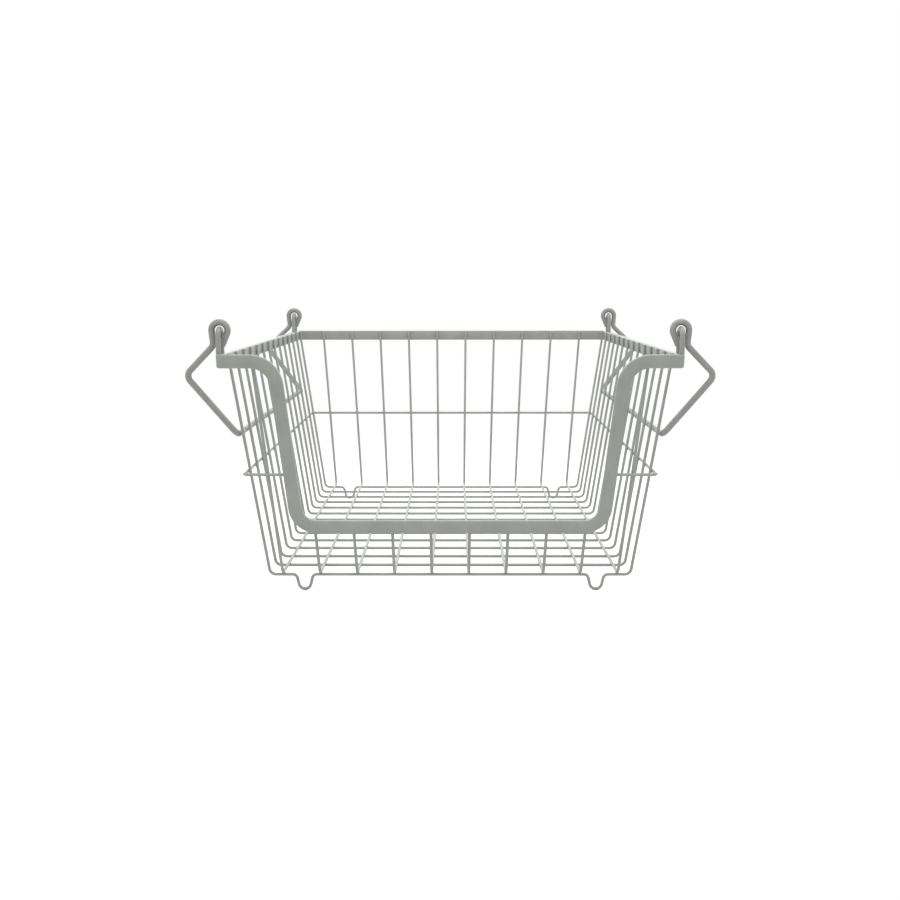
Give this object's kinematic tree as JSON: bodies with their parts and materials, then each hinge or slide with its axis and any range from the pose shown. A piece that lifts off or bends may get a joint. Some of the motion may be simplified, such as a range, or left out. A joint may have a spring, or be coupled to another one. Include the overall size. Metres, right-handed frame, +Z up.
{
  "type": "wire locker basket",
  "caption": "Stackable open wire basket on small feet, with a flat-bar rim that dips at the front and a swinging bale handle on each side.",
  "frame": {"origin": "on the surface the feet stand on, midway across the basket and midway along its rim", "axes": "+X to the right seen from the dipped front, +Y from the front to the rear, +Z up"},
  "size_m": [0.4066, 0.45, 0.2158],
  "materials": {
    "coated_wire": "matte",
    "coated_bar": "matte",
    "coated_rod": "matte"
  },
  "bodies": {
    "basket": {"rim_band": "coated_bar", "front_frame": "coated_bar", "side_hoop": "coated_wire", "cross_wire_01": "coated_wire", "cross_wire_02": "coated_wire", "cross_wire_03": "coated_wire", "cross_wire_04": "coated_wire", "cross_wire_05": "coated_wire", "cross_wire_06": "coated_wire", "cross_wire_07": "coated_wire", "cross_wire_08": "coated_wire", "cross_wire_09": "coated_wire", "cross_wire_10": "coated_wire", "cross_wire_11": "coated_wire", "cross_wire_12": "coated_wire", "cross_wire_13": "coated_wire", "cross_wire_14": "coated_wire", "length_wire_01": "coated_wire", "length_wire_02": "coated_wire", "length_wire_03": "coated_wire", "length_wire_04": "coated_wire", "length_wire_05": "coated_wire", "length_wire_06": "coated_wire", "length_wire_07": "coated_wire", "length_wire_08": "coated_wire", "length_wire_09": "coated_wire", "length_wire_10": "coated_wire", "staple_front_left": "coated_rod", "staple_rear_left": "coated_rod", "staple_front_right": "coated_rod", "staple_rear_right": "coated_rod"},
    "left_handle_body": {"left_handle": "coated_rod"},
    "right_handle_body": {"right_handle": "coated_rod"}
  },
  "joints": [
    {"name": "left_handle_swing", "type": "hinge", "parent": "basket", "child": "left_handle_body", "pos_m": [-0.1744, 0, 0.2082], "axis": [0, 1, 0], "range_deg": [0, 309]},
    {"name": "right_handle_swing", "type": "hinge", "parent": "basket", "child": "right_handle_body", "pos_m": [0.1744, 0, 0.2082], "axis": [0, -1, 0], "range_deg": [0, 309]}
  ]
}
